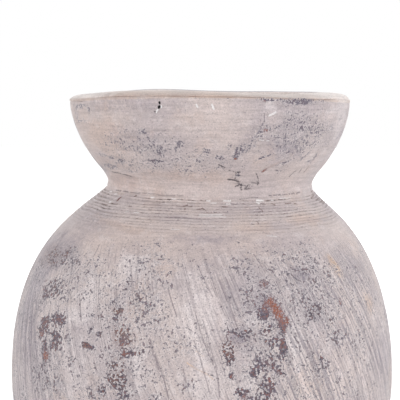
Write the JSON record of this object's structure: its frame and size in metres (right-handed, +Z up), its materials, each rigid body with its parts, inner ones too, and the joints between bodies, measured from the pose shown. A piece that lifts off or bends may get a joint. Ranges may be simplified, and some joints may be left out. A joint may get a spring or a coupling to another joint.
{
  "type": "terracotta vase",
  "caption": "Round-bodied terracotta vase for flowers, with a combed shoulder, a narrow waist and a flared collar, on a flat foot.",
  "frame": {"origin": "on the ground plane, under the middle of the part's bounding box, which is the axis of the belly and the middle of the flat foot", "axes": "+Z up through the mouth; +X towards the side that the collar leans to, which is to the right in the picture; -Y towards the picture's camera"},
  "size_m": [0.3, 0.3, 0.3407],
  "materials": {
    "bare_clay": "unwashed grey-brown terracotta, rough",
    "washed_clay": "pinkish-white lime wash worn through to dark clay, rough",
    "combed_clay": "combed grooves under a thin lime wash, rough",
    "collar_clay": "lime wash wiped round the collar, grey flecks, rough",
    "wiped_clay": "warm wiped lime wash, smoother than the body"
  },
  "bodies": {
    "root": {"base_disc": "bare_clay", "lower_body": "washed_clay", "upper_body": "combed_clay", "neck_collar": "collar_clay", "lip_coil": "wiped_clay"}
  },
  "joints": []
}
